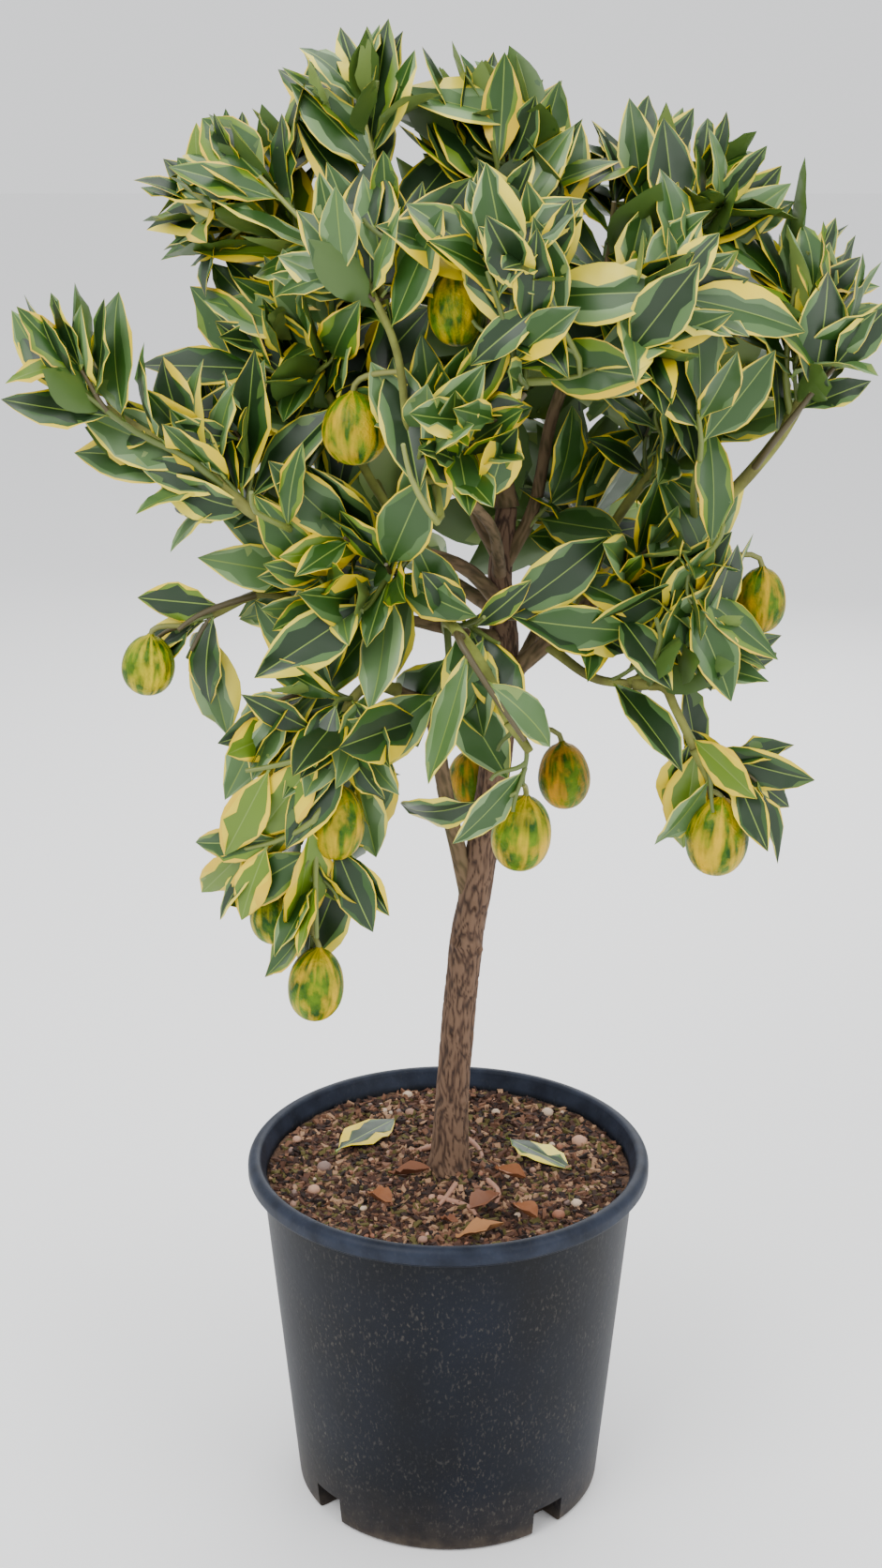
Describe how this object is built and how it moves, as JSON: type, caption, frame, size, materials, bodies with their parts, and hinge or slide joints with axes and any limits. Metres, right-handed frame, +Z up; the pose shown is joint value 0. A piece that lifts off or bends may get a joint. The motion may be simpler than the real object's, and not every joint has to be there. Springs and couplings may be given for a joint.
{
  "type": "potted orangequat tree",
  "caption": "Small citrus tree with variegated leaves and striped egg-shaped fruit on a leaning trunk, in a round plastic nursery pot that stands on its flat underside.",
  "frame": {"origin": "centre of the pot's flat underside", "axes": "+Z up along the pot's axis, -Y the side shown in front, +X its right"},
  "size_m": [0.5273, 0.4091, 1.0033],
  "materials": {
    "pot_plastic": "satin",
    "soil": "matte",
    "bark": "matte",
    "foliage": "satin"
  },
  "bodies": {
    "root": {"pot": "pot_plastic", "soil": "soil", "trunk": "bark", "bough_top": "bark", "bough_low_left": "bark", "bough_right": "bark", "bough_left_lower": "bark", "bough_left": "bark", "bough_front": "bark", "bough_upper_left": "bark", "bough_upper_right": "bark", "bough_back_left": "bark", "bough_back_right": "bark", "bough_back_top": "bark", "bough_front_top": "bark", "limb_right_up": "bark", "limb_right_low": "bark", "limb_front_hanging": "bark", "limb_right_long": "bark", "limb_left_long": "bark", "limb_left_fruit": "bark", "limb_right_hanging": "bark", "limb_left_hanging": "bark", "foliage_top_spray": "foliage", "foliage_top_middle": "foliage", "foliage_top_right": "foliage", "foliage_upper_left": "foliage", "foliage_front_upper_left": "foliage", "foliage_right_shoulder": "foliage", "foliage_front_middle": "foliage", "foliage_front_right": "foliage", "foliage_far_right": "foliage", "foliage_right_middle": "foliage", "foliage_left_tip": "foliage", "foliage_left_middle": "foliage", "foliage_left_fruit": "foliage", "foliage_middle_left": "foliage", "foliage_low_left": "foliage", "foliage_front_centre": "foliage", "foliage_front_fork": "foliage", "foliage_hanging_left_upper": "foliage", "foliage_hanging_left_lower": "foliage", "foliage_hanging_left_fruit": "foliage", "foliage_low_centre": "foliage", "foliage_low_right": "foliage", "foliage_hanging_right": "foliage", "foliage_hanging_front": "foliage", "foliage_back_top": "foliage", "foliage_back_left": "foliage", "foliage_back_right": "foliage", "foliage_back_low_left": "foliage", "foliage_back_low_right": "foliage", "foliage_back_middle": "foliage"}
  },
  "joints": []
}
